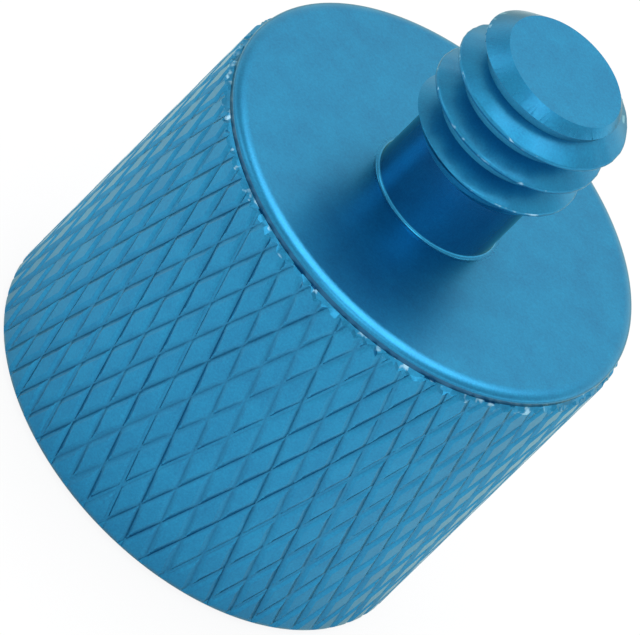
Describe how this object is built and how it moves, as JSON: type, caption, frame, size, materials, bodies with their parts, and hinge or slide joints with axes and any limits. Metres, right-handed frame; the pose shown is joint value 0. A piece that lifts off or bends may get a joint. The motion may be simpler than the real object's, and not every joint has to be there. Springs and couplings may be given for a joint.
{
  "type": "tripod thread adapter",
  "caption": "Blue anodised turned adapter: a diamond-knurled cylinder with a quarter-inch camera stud on top and a three-eighths-inch tapped hole in its flat underside.",
  "frame": {"origin": "centre of the flat underside", "axes": "+Z along the axis of the part, from the underside to the tip of the stud; the camera of the picture looks along +Y"},
  "size_m": [0.0164, 0.0164, 0.0205],
  "materials": {
    "blue_anodised_aluminium": "satin blue anodised, turned top face, smooth edges"
  },
  "bodies": {
    "root": {"adapter_body": "blue_anodised_aluminium"}
  },
  "joints": []
}
